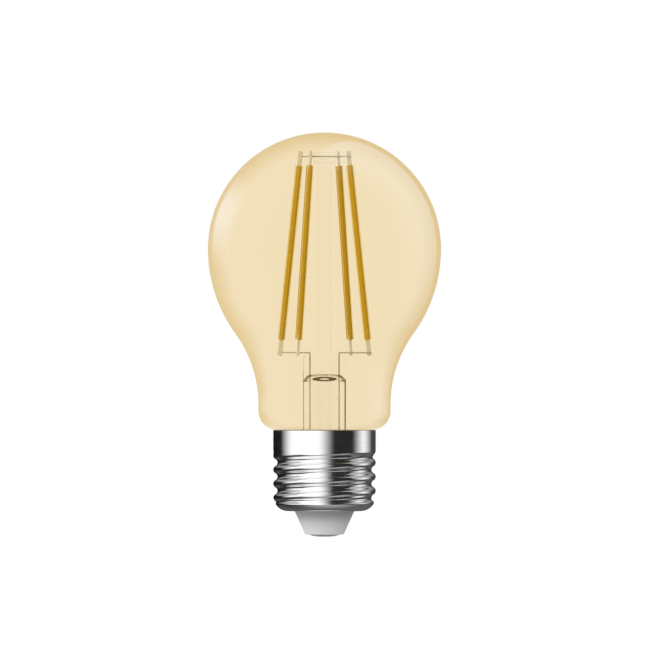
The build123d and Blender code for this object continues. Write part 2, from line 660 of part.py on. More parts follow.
with BuildPart() as pcb_antenna:
    with BuildSketch(Plane.XZ.offset(-RADIO_FACE_Y)):
        with Locations((0, TRACE_Z)):
            Rectangle((TRACE_COUNT - 1) * (TRACE + TRACE_GAP) + TRACE, TRACE_RISE)
        for k in range(TRACE_COUNT - 1):
            gap_x = (k - (TRACE_COUNT - 2) / 2) * (TRACE + TRACE_GAP)
            gap_z = TRACE_Z + (TRACE if k % 2 else -TRACE)
            with Locations((gap_x, gap_z)):
                Rectangle(TRACE_GAP, TRACE_RISE, mode=Mode.SUBTRACT)
    extrude(amount=-TRACE_THICKNESS)
save(pcb_antenna.part, "pcb_antenna")

RECTIFIER_XY, DRIVER_XY = (6.8, 0), (-6.9, 0)
BODY_STANDOFF, BODY_HEIGHT, BODY_CORNER, BODY_CHAMFER = 0.2, 1.3, 0.25, 0.2
PIN_LENGTH, PIN_HEIGHT = 1.0, 0.35


def chip_package(centre, body, pin_width, pin_spacing, pin_grid):
    """A moulded chip on the board: a chamfered body over two rows of pins."""
    with BuildPart() as package:
        with BuildSketch(Plane.XY.offset(BOARD_TOP_Z + BODY_STANDOFF)):
            with Locations(centre):
                RectangleRounded(*body, BODY_CORNER)
        extrude(amount=BODY_HEIGHT)
        chamfer(package.faces().sort_by(Axis.Z)[-1].edges(), length=BODY_CHAMFER)
        with BuildSketch(Plane.XY.offset(BOARD_TOP_Z)):
            with Locations(centre):
                with GridLocations(*pin_spacing, *pin_grid):
                    Rectangle(pin_width, PIN_LENGTH)
        extrude(amount=PIN_HEIGHT)
    return package.part


save(chip_package(RECTIFIER_XY, (4.4, 3.6), 0.6, (2.4, 4.2), (2, 2)), "bridge_rectifier")
save(chip_package(DRIVER_XY, (4.6, 3.4), 0.4, (1.27, 4.0), (4, 2)), "led_driver_chip")

SMALL_LENGTH, SMALL_WIDTH, SMALL_HEIGHT = 1.6, 0.8, 0.5
small_parts_above = [(-1.5, 4.4), (1.5, 4.4), (-1.5, 6.2), (1.5, 6.2)]
small_parts_above += [(-7.0, -4.2), (7.0, -4.2), (-3.4, -3.4)]
small_parts_below = [(-6.2, 1.2), (6.2, 1.2), (8.0, -1.2)]

with BuildPart() as small_components:
    with BuildSketch(Plane.XY.offset(BOARD_TOP_Z)):
        with Locations(*small_parts_above):
            Rectangle(SMALL_LENGTH, SMALL_WIDTH)
    extrude(amount=SMALL_HEIGHT)
    with BuildSketch(Plane.XY.offset(BOARD_FOOT_Z)):
        with Locations(*small_parts_below):
            Rectangle(SMALL_LENGTH, SMALL_WIDTH)
    extrude(amount=-SMALL_HEIGHT)
save(small_components.part, "small_components")

CAPACITOR_RADIUS, CAPACITOR_LENGTH, CAPACITOR_YZ = 2.4, 8.0, (5.6, 10.75)
CAPACITOR_EDGE, CAPACITOR_VENT, VENT_DEPTH = 0.35, 1.73, 0.2

with BuildPart() as electrolytic_capacitor:
    can_plane = Plane(origin=(-CAPACITOR_LENGTH / 2, *CAPACITOR_YZ), x_dir=(0, 1, 0), z_dir=(1, 0, 0))
    with BuildSketch(can_plane):
        Circle(CAPACITOR_RADIUS)
    extrude(amount=CAPACITOR_LENGTH)
    end_edges = electrolytic_capacitor.edges().filter_by(GeomType.CIRCLE)
    fillet(end_edges, radius=CAPACITOR_EDGE)
    with BuildSketch(can_plane):
        Circle(CAPACITOR_VENT)
    extrude(amount=VENT_DEPTH, mode=Mode.SUBTRACT)
save(electrolytic_capacitor.part, "electrolytic_capacitor")

INDUCTOR_XY = (-4.8, -3.8)
INDUCTOR_FOOT_Z, INDUCTOR_HEIGHT, INDUCTOR_FLANGE, INDUCTOR_RIM = 8.9, 4.5, 0.8, 2.6
INDUCTOR_HUB, WINDING_RADIUS = 1.2, 2.25

with BuildPart() as inductor_core:
    flange_heights = (INDUCTOR_FOOT_Z, INDUCTOR_FOOT_Z + INDUCTOR_HEIGHT - INDUCTOR_FLANGE)
    for height in flange_heights:
        with BuildSketch(Plane.XY.offset(height)):
            with Locations(INDUCTOR_XY):
                Circle(INDUCTOR_RIM)
        extrude(amount=INDUCTOR_FLANGE)
    with BuildSketch(Plane.XY.offset(INDUCTOR_FOOT_Z)):
        with Locations(INDUCTOR_XY):
            Circle(INDUCTOR_HUB)
    extrude(amount=INDUCTOR_HEIGHT)
save(inductor_core.part, "inductor_core")

with BuildPart() as inductor_winding:
    with BuildSketch(Plane.XY.offset(INDUCTOR_FOOT_Z + INDUCTOR_FLANGE)):
        with Locations(INDUCTOR_XY):
            Circle(WINDING_RADIUS)
            Circle(INDUCTOR_HUB, mode=Mode.SUBTRACT)
    extrude(amount=INDUCTOR_HEIGHT - 2 * INDUCTOR_FLANGE)
save(inductor_winding.part, "inductor_winding")

FUSE_X, FUSE_Y, FUSE_Z = 5.2, -4.6, 12.0
FUSE_HALF_LENGTH, FUSE_RADIUS, FUSE_WAIST = 2.8, 1.2, 0.95
FUSE_SHOULDER, FUSE_WAIST_END = 1.6, 1.2  # distances of the end caps' edges from the middle

with BuildPart() as fusible_resistor:
    with BuildSketch(Plane.XZ.offset(-FUSE_Y)):
        with BuildLine():
            Polyline(
                (FUSE_X - FUSE_HALF_LENGTH, FUSE_Z),
                (FUSE_X - FUSE_HALF_LENGTH, FUSE_Z + FUSE_RADIUS),
                (FUSE_X - FUSE_SHOULDER, FUSE_Z + FUSE_RADIUS),
                (FUSE_X - FUSE_WAIST_END, FUSE_Z + FUSE_WAIST),
                (FUSE_X + FUSE_WAIST_END, FUSE_Z + FUSE_WAIST),
                (FUSE_X + FUSE_SHOULDER, FUSE_Z + FUSE_RADIUS),
                (FUSE_X + FUSE_HALF_LENGTH, FUSE_Z + FUSE_RADIUS),
                (FUSE_X + FUSE_HALF_LENGTH, FUSE_Z),
                close=True,
            )
        make_face()
    revolve(axis=Axis((FUSE_X, FUSE_Y, FUSE_Z), (1, 0, 0)))
save(fusible_resistor.part, "fusible_resistor")
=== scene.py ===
import json
import math
import bpy
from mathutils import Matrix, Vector

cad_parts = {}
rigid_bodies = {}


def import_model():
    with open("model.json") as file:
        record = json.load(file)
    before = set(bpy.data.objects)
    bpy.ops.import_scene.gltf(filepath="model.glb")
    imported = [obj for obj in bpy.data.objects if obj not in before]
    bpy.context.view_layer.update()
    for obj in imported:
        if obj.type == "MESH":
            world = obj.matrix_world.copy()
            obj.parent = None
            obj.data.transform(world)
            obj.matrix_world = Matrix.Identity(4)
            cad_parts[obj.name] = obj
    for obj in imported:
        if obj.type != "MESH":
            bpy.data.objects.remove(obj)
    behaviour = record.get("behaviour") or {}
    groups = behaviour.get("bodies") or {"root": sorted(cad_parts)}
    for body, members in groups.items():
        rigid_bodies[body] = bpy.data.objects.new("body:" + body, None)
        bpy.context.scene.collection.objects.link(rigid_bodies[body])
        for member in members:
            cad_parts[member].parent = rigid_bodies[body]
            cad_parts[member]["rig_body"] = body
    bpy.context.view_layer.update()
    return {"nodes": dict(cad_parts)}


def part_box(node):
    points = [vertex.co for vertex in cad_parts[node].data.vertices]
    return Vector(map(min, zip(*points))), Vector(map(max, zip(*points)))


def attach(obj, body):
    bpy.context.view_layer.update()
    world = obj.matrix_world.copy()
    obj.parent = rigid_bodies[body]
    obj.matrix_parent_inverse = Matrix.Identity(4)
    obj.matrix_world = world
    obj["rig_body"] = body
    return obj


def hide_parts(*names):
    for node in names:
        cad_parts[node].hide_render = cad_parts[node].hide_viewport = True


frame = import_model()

# Filament smart lamp: an amber glass bulb on a screw cap, shown against plain white.
# Metres, in the part's own frame: the origin is the tip of the centre contact, +Z runs up the
# lamp's axis, and the camera looks along +Y.

MM = 0.001
GLASS_WALL = 0.8 * MM
SHEET = 0.3 * MM
MOUTH_Z = 40.55 * MM  # the mouth of the exhaust tube, in the stem's bore
CARD_DISTANCE = 2.0  # from the lamp to the cards that its mirrors see
INNER_PAIR = (2, 4)  # the filaments that are seen edge-on, nearest the axis
PHOSPHOR_GRAIN = 2500.0  # grains per metre
parts = frame["nodes"]


# ---------------------------------------------------------------- camera
def place_camera():
    """A very long lens level with the middle of the lamp, so that nothing converges."""
    view_width, right, up = 167.3 * MM, 0.13 * MM, 54.47 * MM
    lens = bpy.data.cameras.new("camera")
    lens.lens = 800.0
    lens.sensor_width = 36.0
    lens.clip_start = 0.05
    lens.clip_end = 40.0
    distance = view_width * lens.lens / lens.sensor_width
    camera = bpy.data.objects.new("camera", lens)
    camera.location = (right, -distance, up)
    camera.rotation_euler = (math.pi / 2, 0.0, 0.0)
    bpy.context.scene.collection.objects.link(camera)
    bpy.context.scene.camera = camera


# ---------------------------------------------------------------- node helpers
def node(tree, kind, **settings):
    """Adds a node and sets its properties."""
    made = tree.nodes.new(kind)
    for key, value in settings.items():
        setattr(made, key, value)
    return made


def plug(tree, value, socket):
    """Links an output to a socket, or sets the socket's own value."""
    if isinstance(value, bpy.types.NodeSocket):
        tree.links.new(value, socket)
    else:
        socket.default_value = value


def maths(tree, operation, *values, clamp=False):
    """One Math node; each value is a number or an output."""
    made = node(tree, "ShaderNodeMath", operation=operation, use_clamp=clamp)
    for value, socket in zip(values, made.inputs):
        plug(tree, value, socket)
    return made.outputs[0]


def product(tree, *values):
    """All the values multiplied together."""
    total = values[0]
    for value in values[1:]:
        total = maths(tree, "MULTIPLY", total, value)
    return total


def blend(tree, share, one, other):
    """one where share is 1, other where it is 0."""
    rest = maths(tree, "SUBTRACT", 1.0, share)
    return maths(tree, "ADD", product(tree, one, share), product(tree, other, rest))


def from_axis(tree, x, y):
    """Distance from the lamp's axis."""
    square = maths(tree, "ADD", product(tree, x, x), product(tree, y, y))
    return maths(tree, "SQRT", square)


def between(tree, value, start, end, low=0.0, high=1.0, smooth=True):
    """low at start and high at end, held outside them."""
    made = node(tree, "ShaderNodeMapRange", clamp=True)
    made.interpolation_type = "SMOOTHSTEP" if smooth else "LINEAR"
    plug(tree, value, made.inputs["Value"])
    for name, number in (("From Min", start), ("From Max", end), ("To Min", low), ("To Max", high)):
        plug(tree, number, made.inputs[name])
    return made.outputs["Result"]


def window(tree, value, rise_start, rise_end, fall_start, fall_end):
    """1 between two soft edges, 0 outside them."""
    rising = between(tree, value, rise_start, rise_end)
    return product(tree, rising, between(tree, value, fall_start, fall_end, 1.0, 0.0))


def degrees_of(tree, operation, *values):
    """An inverse function's angle in degrees."""
    return maths(tree, "DEGREES", maths(tree, operation, *values))


def ramp(tree, value, stops):
    """A colour ramp with stops of (position, colour)."""
    made = node(tree, "ShaderNodeValToRGB")
    elements = made.color_ramp.elements
    while len(elements) < len(stops):
        elements.new(1.0)
    for element, (position, colour) in zip(elements, stops):
        element.position = position
        element.color = (*colour, 1.0)
    plug(tree, value, made.inputs["Fac"])
    return made.outputs["Color"]


def from_screen(red, green, blue):
    """Linear colour from screen values of 0 to 255."""
    shares = [value / 255 for value in (red, green, blue)]
    return tuple(s / 12.92 if s <= 0.04045 else ((s + 0.055) / 1.055) ** 2.4 for s in shares)


def new_finish(name):
    """An empty material and its tree with an output."""
    finish = bpy.data.materials.new(name)
    finish.use_nodes = True
    tree = finish.node_tree
    tree.nodes.clear()
    return finish, tree, node(tree, "ShaderNodeOutputMaterial")


def new_paint(name, roughness=None):
    """A material with one main shader; a roughness that varies is plugged in afterwards."""
    finish, tree, output = new_finish(name)
    shader = node(tree, "ShaderNodeBsdfPrincipled")
    if roughness is not None:
        shader.inputs["Roughness"].default_value = roughness
    plug(tree, shader.outputs["BSDF"], output.inputs["Surface"])
    return finish, tree, shader


def place_on(tree):
    """The place on the piece, in the lamp's own frame."""
    return node(tree, "ShaderNodeTexCoord").outputs["Object"]


def three_parts(tree, vector):
    """The x, y and z of a vector."""
    split = node(tree, "ShaderNodeSeparateXYZ")
    tree.links.new(vector, split.inputs[0])
    return split.outputs


def grain_of(tree, scale, detail=3.0, stretch=(1.0, 1.0, 1.0)):
    """Noise on the piece's own coordinates, in grains per metre."""
    mapping = node(tree, "ShaderNodeMapping")
    mapping.inputs["Scale"].default_value = stretch
    tree.links.new(place_on(tree), mapping.inputs["Vector"])
    noise = node(tree, "ShaderNodeTexNoise")
    noise.inputs["Scale"].default_value = scale
    noise.inputs["Detail"].default_value = detail
    tree.links.new(mapping.outputs["Vector"], noise.inputs["Vector"])
    return noise.outputs["Fac"]


def bumped(tree, height, strength, depth):
    """A normal that follows a height."""
    bump = node(tree, "ShaderNodeBump")
    bump.inputs["Strength"].default_value = strength
    bump.inputs["Distance"].default_value = depth
    tree.links.new(height, bump.inputs["Height"])
    return bump.outputs["Normal"]


# ---------------------------------------------------------------- opaque finishes
def grained(name, dark, light, grain, roughness, metallic=0.0, relief=0.0):
    """Moulded, drawn or fired stuff: two tones in a fine grain, uneven gloss and a little relief."""
    finish, tree, shader = new_paint(name)
    shader.inputs["Metallic"].default_value = metallic
    mottle = grain_of(tree, grain)
    plug(tree, ramp(tree, mottle, [(0.3, dark), (0.7, light)]), shader.inputs["Base Color"])
    fine = grain_of(tree, grain * 4)
    uneven = between(tree, fine, 0.3, 0.7, roughness * 0.8, roughness * 1.2)
    plug(tree, uneven, shader.inputs["Roughness"])
    if relief:
        plug(tree, bumped(tree, fine, 0.5, relief), shader.inputs["Normal"])
    return finish


def plating():
    """Bright nickel with the faint marks of deep drawing running round the shell."""
    finish, tree, shader = new_paint("shell_plating")
    shader.inputs["Metallic"].default_value = 1.0
    marks = grain_of(tree, 900.0, detail=5.0, stretch=(0.15, 0.15, 2.5))
    tones = [(0.25, (0.86, 0.86, 0.87)), (0.75, (0.95, 0.95, 0.95))]
    plug(tree, ramp(tree, marks, tones), shader.inputs["Base Color"])
    plug(tree, between(tree, marks, 0.25, 0.75, 0.09, 0.13), shader.inputs["Roughness"])
    return finish


def insulator():
    """Light grey moulded plastic, with painted shade that darkens it towards the shell."""
    tip_z, shell_z = 0.5 * MM, 6.6 * MM
    finish, tree, shader = new_paint("insulator_plastic", 0.45)
    mottle = grain_of(tree, 700.0)
    # Painted shade: the grey darkens from the tip up to the shell, standing in for the shade under the
    # shell's overhang.
    height = between(tree, three_parts(tree, place_on(tree))[2], tip_z, shell_z)
    tone = maths(tree, "ADD", height, product(tree, mottle, 0.06))
    tones = [(0.0, (0.60, 0.60, 0.60)), (0.5, (0.50, 0.50, 0.495)), (1.0, (0.25, 0.25, 0.25))]
    plug(tree, ramp(tree, tone, tones), shader.inputs["Base Color"])
    plug(tree, bumped(tree, mottle, 0.4, 0.012 * MM), shader.inputs["Normal"])
    return finish


def laminate():
    """Green board: woven glass cloth under solder mask."""
    finish, tree, shader = new_paint("board_laminate", 0.35)
    threads = []
    for direction in ("X", "Y"):
        wave = node(tree, "ShaderNodeTexWave", bands_direction=direction)
        wave.inputs["Scale"].default_value = 700.0
        wave.inputs["Distortion"].default_value = 0.6
        tree.links.new(place_on(tree), wave.inputs["Vector"])
        threads.append(wave.outputs["Fac"])
    weave = product(tree, *threads)
    tones = [(0.0, (0.012, 0.10, 0.035)), (1.0, (0.03, 0.19, 0.07))]
    plug(tree, ramp(tree, weave, tones), shader.inputs["Base Color"])
    plug(tree, bumped(tree, weave, 0.3, 0.02 * MM), shader.inputs["Normal"])
    return finish


# ---------------------------------------------------------------- glass
def glass(name, stops, mirror_limit, edge_mask=None, waviness=0.0):
    """Glass seen straight through: each pass tints by how edge-on it is, and the outside mirrors.

    Stops are (how edge-on, what two passes let through). edge_mask gets the tree and the three
    parts of the place, and gives the share of the edge-on tint that counts there.
    """
    finish, tree, output = new_finish(name)
    facing = node(tree, "ShaderNodeLayerWeight")
    facing.inputs["Blend"].default_value = 0.5
    edge_on = facing.outputs["Facing"]
    if edge_mask:
        edge_on = product(tree, edge_on, edge_mask(tree, *three_parts(tree, place_on(tree))))
    one_pass = [(place, tuple(math.sqrt(value) for value in colour)) for place, colour in stops]
    clear = node(tree, "ShaderNodeBsdfTransparent")
    plug(tree, ramp(tree, edge_on, one_pass), clear.inputs["Color"])
    mirror = node(tree, "ShaderNodeBsdfGlossy")
    mirror.inputs["Roughness"].default_value = 0.03
    fresnel = node(tree, "ShaderNodeFresnel")
    fresnel.inputs["IOR"].default_value = 1.5
    if waviness:
        ripple = bumped(tree, grain_of(tree, 60.0, detail=1.0), 0.2, waviness)
        plug(tree, ripple, mirror.inputs["Normal"])
    outside = maths(tree, "SUBTRACT", 1.0, node(tree, "ShaderNodeNewGeometry").outputs["Backfacing"])
    share = maths(tree, "MINIMUM", fresnel.outputs["Fac"], mirror_limit)
    mix = node(tree, "ShaderNodeMixShader")
    plug(tree, product(tree, share, outside), mix.inputs["Fac"])
    plug(tree, clear.outputs["BSDF"], mix.inputs[1])
    plug(tree, mirror.outputs["BSDF"], mix.inputs[2])
    plug(tree, mix.outputs["Shader"], output.inputs["Surface"])
    return finish


def above_foot(tree, x, y, z):
    """Less of the edge-on tint in the bulb's tucked-in foot."""
    foot_z, clear_of_foot_z = 27.5 * MM, 30.0 * MM
    return between(tree, z, foot_z, clear_of_foot_z, 0.45, 1.0)


def amber_glass():
    """Clear bulb glass with an amber coat outside, deepest where it is seen edge-on."""
    body = from_screen(247, 228, 189)
    deep = from_screen(242, 213, 156)
    rim = from_screen(235, 208, 152)
    stops = [(0.0, body), (0.45, body), (0.72, deep), (0.8, rim), (1.0, rim)]
    return glass("amber_glass", stops, mirror_limit=0.15, edge_mask=above_foot, waviness=0.008 * MM)


def inner_wall():
    """The bulb's inner wall: bare glass."""
    stops = [(0.0, (0.99, 0.99, 0.985)), (1.0, (0.98, 0.975, 0.96))]
    return glass("amber_glass_inner", stops, mirror_limit=0.0)


def outer_face(tree, x, y, z):
    """Only the stem's outer faces darken at their edges, with painted light making the darkening weaker
    towards the left, and its right shoulder stays clear.
    """
    bore_r, tube_r, side = 4.7 * MM, 5.0 * MM, 3.0 * MM
    shoulder_foot, shoulder_top = 40.0 * MM, 42.0 * MM
    outer = between(tree, from_axis(tree, x, y), bore_r, tube_r)
    shoulder = between(tree, z, shoulder_foot, shoulder_top)
    hidden = product(tree, shoulder, between(tree, x, 0.0, side), 0.75)
    # Painted light: the edge darkening is weaker towards the left, the side the light comes from.
    painted_light_left = between(tree, x, -side, side, 0.86, 1.0)
    return product(tree, outer, painted_light_left, maths(tree, "SUBTRACT", 1.0, hidden))


def round_middle(tree, x, y, z):
    """The exhaust mouth stays clear in an oval in its middle."""
    half_width, half_height = 1.4 * MM, 0.3 * MM
    across = maths(tree, "DIVIDE", x, half_width)
    up = maths(tree, "DIVIDE", maths(tree, "SUBTRACT", z, MOUTH_Z), half_height)
    square = maths(tree, "ADD", product(tree, across, across), product(tree, up, up))
    return between(tree, square, 0.5, 1.3)


def stem_glass(name, body, edge, start, end, edge_mask=None):
    """Clear stem glass that goes brown where it is seen edge-on."""
    stops = [(0.0, body), (start, body), (end, edge), (1.0, edge)]
    return glass(name, stops, mirror_limit=0.03, edge_mask=edge_mask)


# ---------------------------------------------------------------- filament finishes
def phosphor():
    """Amber phosphor in silicone, with fine grains and hardly any gloss."""
    finish, tree, shader = new_paint("phosphor_coat", 0.6)
    shader.inputs["Specular IOR Level"].default_value = 0.08
    speckle = grain_of(tree, PHOSPHOR_GRAIN)
    tones = [(0.3, (0.57, 0.42, 0.018)), (0.7, (0.66, 0.49, 0.03))]
    plug(tree, ramp(tree, speckle, tones), shader.inputs["Base Color"])
    plug(tree, bumped(tree, speckle, 0.4, 0.02 * MM), shader.inputs["Normal"])
    return finish


def silicone():
    """The clear edge of the coat: yellow silicone round the phosphor, palest at its corners."""
    finish, tree, output = new_finish("phosphor_gel")
    facing = node(tree, "ShaderNodeLayerWeight")
    facing.inputs["Blend"].default_value = 0.5
    clear = node(tree, "ShaderNodeBsdfTransparent")
    tint = ramp(tree, facing.outputs["Facing"], [(0.0, (0.93, 0.84, 0.58)), (0.8, (0.985, 0.95, 0.80))])
    plug(tree, tint, clear.inputs["Color"])
    skin = node(tree, "ShaderNodeBsdfPrincipled")
    skin.inputs["Roughness"].default_value = 0.3
    skin.inputs["Specular IOR Level"].default_value = 0.2
    tones = [(0.3, (0.88, 0.66, 0.22)), (0.7, (0.94, 0.74, 0.28))]
    plug(tree, ramp(tree, grain_of(tree, PHOSPHOR_GRAIN), tones), skin.inputs["Base Color"])
    mix = node(tree, "ShaderNodeMixShader")
    plug(tree, between(tree, facing.outputs["Facing"], 0.2, 0.9, 0.04, 0.1), mix.inputs["Fac"])
    plug(tree, clear.outputs["BSDF"], mix.inputs[1])
    plug(tree, skin.outputs["BSDF"], mix.inputs[2])
    plug(tree, mix.outputs["Shader"], output.inputs["Surface"])
    return finish


def make_finishes():
    """Every finish of the lamp: one for each slot, and five for pieces that differ from their slot."""
    clear, smoky = (1.0, 1.0, 0.995), (0.98, 0.97, 0.95)
    return {
        "amber_glass": amber_glass(),
        "clear_glass": stem_glass("clear_glass", clear, (0.05, 0.035, 0.01), 0.57, 0.86, outer_face),
        "fine_glass": stem_glass("fine_glass", clear, (0.66, 0.60, 0.46), 0.72, 0.95),
        "dome_glass": stem_glass("dome_glass", clear, (0.10, 0.065, 0.02), 0.6, 0.86),
        "mouth_glass": stem_glass("mouth_glass", smoky, (0.13, 0.085, 0.02), 0.0, 0.1, round_middle),
        "dumet_wire": grained("dumet_wire", (0.50, 0.38, 0.26), (0.66, 0.52, 0.38), 900.0, 0.35, 1.0),
        "filament_substrate": grained(
            "filament_substrate", (0.66, 0.65, 0.60), (0.78, 0.77, 0.72), 1500.0, 0.5
        ),
        "led_chips": grained("led_chips", (0.10, 0.16, 0.35), (0.20, 0.28, 0.50), 3000.0, 0.15),
        "phosphor_coat": phosphor(),
        "phosphor_gel": silicone(),
        "filament_tabs": grained(
            "filament_tabs", (0.60, 0.55, 0.44), (0.68, 0.63, 0.51), 1500.0, 0.5, 0.0, 0.01 * MM
        ),
        # Painted light: a paler copy of the same tab metal as filament_tabs, used on the inner pair's tabs.
        "bright_tabs": grained(
            "bright_tabs", (0.86, 0.83, 0.74), (0.94, 0.91, 0.82), 1500.0, 0.5, 0.0, 0.01 * MM
        ),
        "nickel_wire": grained(
            "nickel_wire", (0.62, 0.55, 0.42), (0.76, 0.68, 0.54), 1200.0, 0.28, 1.0, 0.005 * MM
        ),
        "shell_plating": plating(),
        "cap_cement": grained(
            "cap_cement", (0.30, 0.22, 0.13), (0.46, 0.36, 0.24), 1800.0, 0.85, relief=0.1 * MM
        ),
        "insulator_plastic": insulator(),
        "contact_metal": grained(
            "contact_metal", (0.22, 0.22, 0.22), (0.34, 0.34, 0.33), 500.0, 0.45, 0.7, 0.02 * MM
        ),
        "tinned_copper": grained("tinned_copper", (0.50, 0.49, 0.46), (0.68, 0.67, 0.64), 1200.0, 0.3, 1.0),
        "sleeve_rubber": grained("sleeve_rubber", (0.50, 0.06, 0.04), (0.60, 0.09, 0.06), 1200.0, 0.6),
        "solder": grained("solder", (0.46, 0.46, 0.47), (0.66, 0.66, 0.67), 1500.0, 0.28, 1.0, 0.04 * MM),
        "board_laminate": laminate(),
        "black_epoxy": grained(
            "black_epoxy", (0.012, 0.012, 0.013), (0.03, 0.03, 0.032), 2500.0, 0.55, relief=0.02 * MM
        ),
        "ceramic_chips": grained("ceramic_chips", (0.30, 0.22, 0.15), (0.45, 0.36, 0.26), 2500.0, 0.45),
        "shield_can": grained("shield_can", (0.55, 0.55, 0.54), (0.72, 0.72, 0.71), 800.0, 0.3, 1.0),
        "antenna_copper": grained(
            "antenna_copper", (0.60, 0.30, 0.14), (0.80, 0.45, 0.24), 1500.0, 0.35, 1.0
        ),
        "capacitor_sleeve": grained("capacitor_sleeve", (0.015, 0.02, 0.05), (0.03, 0.04, 0.09), 800.0, 0.35),
        "ferrite": grained(
            "ferrite", (0.03, 0.03, 0.03), (0.07, 0.068, 0.065), 2500.0, 0.6, relief=0.03 * MM
        ),
        "enamelled_copper": grained(
            "enamelled_copper", (0.45, 0.16, 0.05), (0.62, 0.26, 0.09), 900.0, 0.25, 0.9
        ),
        "resistor_enamel": grained("resistor_enamel", (0.20, 0.34, 0.30), (0.28, 0.44, 0.38), 1500.0, 0.4),
    }


# ---------------------------------------------------------------- mesh helpers
def arc(centre, radius, start, end, count):
    """Points along an arc in a half section; angles in degrees."""
    points = []
    for step in range(count + 1):
        angle = math.radians(start + (end - start) * step / count)
        points.append((centre[0] + radius * math.cos(angle), centre[1] + radius * math.sin(angle)))
    return points


def run(start, end, count):
    """Evenly spaced points after the start of a straight line, down to its end."""
    shares = [(step + 1) / count for step in range(count)]
    return [tuple(a + (b - a) * share for a, b in zip(start, end)) for share in shares]


def new_piece(name, points, faces, finishes, finish_of=None):
    """A smooth mesh object from points and faces."""
    mesh = bpy.data.meshes.new(name)
    mesh.from_pydata(points, [], faces)
    for finish in finishes:
        mesh.materials.append(finish)
    for index, face in enumerate(mesh.polygons):
        face.use_smooth = True
        face.material_index = finish_of[index] if finish_of else 0
    mesh.validate()
    piece = bpy.data.objects.new(name, mesh)
    bpy.context.scene.collection.objects.link(piece)
    return piece


def lathe(name, section, segments, finishes, finish_of_span=None):
    """Turns a closed half section about the axis; points on the axis become poles.

    The section runs down the outside and back up the inside, so that faces point outwards.
    """
    points, rings, faces, finish_of = [], [], [], []
    for radius, height in section:
        first = len(points)
        turns = 1 if radius < 1e-9 else segments
        for step in range(turns):
            angle = 2 * math.pi * step / segments
            points.append((radius * math.cos(angle), radius * math.sin(angle), height))
        rings.append([first + step % turns for step in range(segments + 1)])
    spans = list(zip(rings, rings[1:] + rings[:1]))
    for span, (upper, lower) in enumerate(spans):
        for step in range(segments):
            corners = [upper[step], lower[step], lower[step + 1], upper[step + 1]]
            corners = [c for k, c in enumerate(corners) if c not in corners[:k]]
            if len(corners) > 2:
                faces.append(corners)
                finish_of.append(finish_of_span[span] if finish_of_span else 0)
    return new_piece(name, points, faces, finishes, finish_of)


# ---------------------------------------------------------------- glass envelope
def envelope_outline(low, high, inset):
    """Half section of the bulb in metres from its crown to its foot, moved in by inset."""
    bulb = high.x
    equator = high.z - bulb
    flank, neck, neck_z = 37.0 * MM, 17.0 * MM, 34.0 * MM
    shoulder, shoulder_z, seal_neck = 5.0 * MM, 32.4 * MM, 10.9 * MM
    flank_x = bulb - flank
    reach, drop = neck - flank_x, equator - neck_z
    throat = (reach**2 + drop**2 - flank**2) / (2 * (flank - reach))
    sweep = math.degrees(math.asin(drop / (flank + throat)))
    tuck = neck - shoulder - seal_neck
    tuck_z = shoulder_z - shoulder - tuck
    outline = arc((0, equator), bulb - inset, 90, 0, 56)
    outline[0] = (0.0, outline[0][1])
    outline += arc((flank_x, equator), flank - inset, 0, -sweep, 30)[1:]
    outline += arc((neck + throat, neck_z), throat + inset, 180 - sweep, 180, 26)[1:]
    outline += run((neck - inset, neck_z), (neck - inset, shoulder_z), 2)
    outline += arc((neck - shoulder, shoulder_z), shoulder - inset, 0, -90, 16)[1:]
    outline += arc((neck - shoulder, tuck_z), tuck + inset, 90, 180, 8)[1:]
    outline += run((seal_neck - inset, tuck_z), (seal_neck - inset, low.z), 4)
    return outline


def make_envelope(finishes):
    """The blown bulb: amber outside, bare glass inside, one closed wall."""
    low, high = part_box("glass_envelope")
    outside = envelope_outline(low, high, 0.0)
    inside = envelope_outline(low, high, GLASS_WALL)
    section = outside + inside[::-1]
    spans = [0] * (len(outside) - 1) + [1] * (len(inside) + 1)
    bulb = lathe("bulb_glass", section, 192, [finishes["amber_glass"], inner_wall()], spans)
    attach(bulb, "root")
    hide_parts("glass_envelope")


# ---------------------------------------------------------------- screw shell
def shell_section():
    """Half section of the plain drawn cup, before its thread is rolled in."""
    rim_z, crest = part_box("screw_shell")[1].z, 13.2 * MM
    cup, cup_r, cup_z, foot_z, lip = 3.8 * MM, 9.4 * MM, 10.4 * MM, 6.6 * MM, 7.2 * MM
    thread_top = 22.6 * MM
    edge, support = 0.04 * MM, 0.09 * MM
    outside = [(crest - support, rim_z), (crest - edge, rim_z)]
    outside += [(crest, rim_z - edge), (crest, rim_z - support)]
    outside += run(outside[-1], (crest, thread_top), 8)
    outside += run((crest, thread_top), (crest, cup_z), 112)
    outside += arc((cup_r, cup_z), cup, 0, -90, 44)[1:]
    outside += run((cup_r, foot_z), (lip, foot_z), 4)
    inside = [(lip, foot_z + SHEET)] + run((lip, foot_z + SHEET), (cup_r, foot_z + SHEET), 4)
    inside += arc((cup_r, cup_z), cup - SHEET, -90, 0, 24)[1:]
    inside += run((crest - SHEET, cup_z), (crest - SHEET, thread_top), 64)
    inside += run((crest - SHEET, thread_top), (crest - SHEET, rim_z), 5)
    return outside + inside


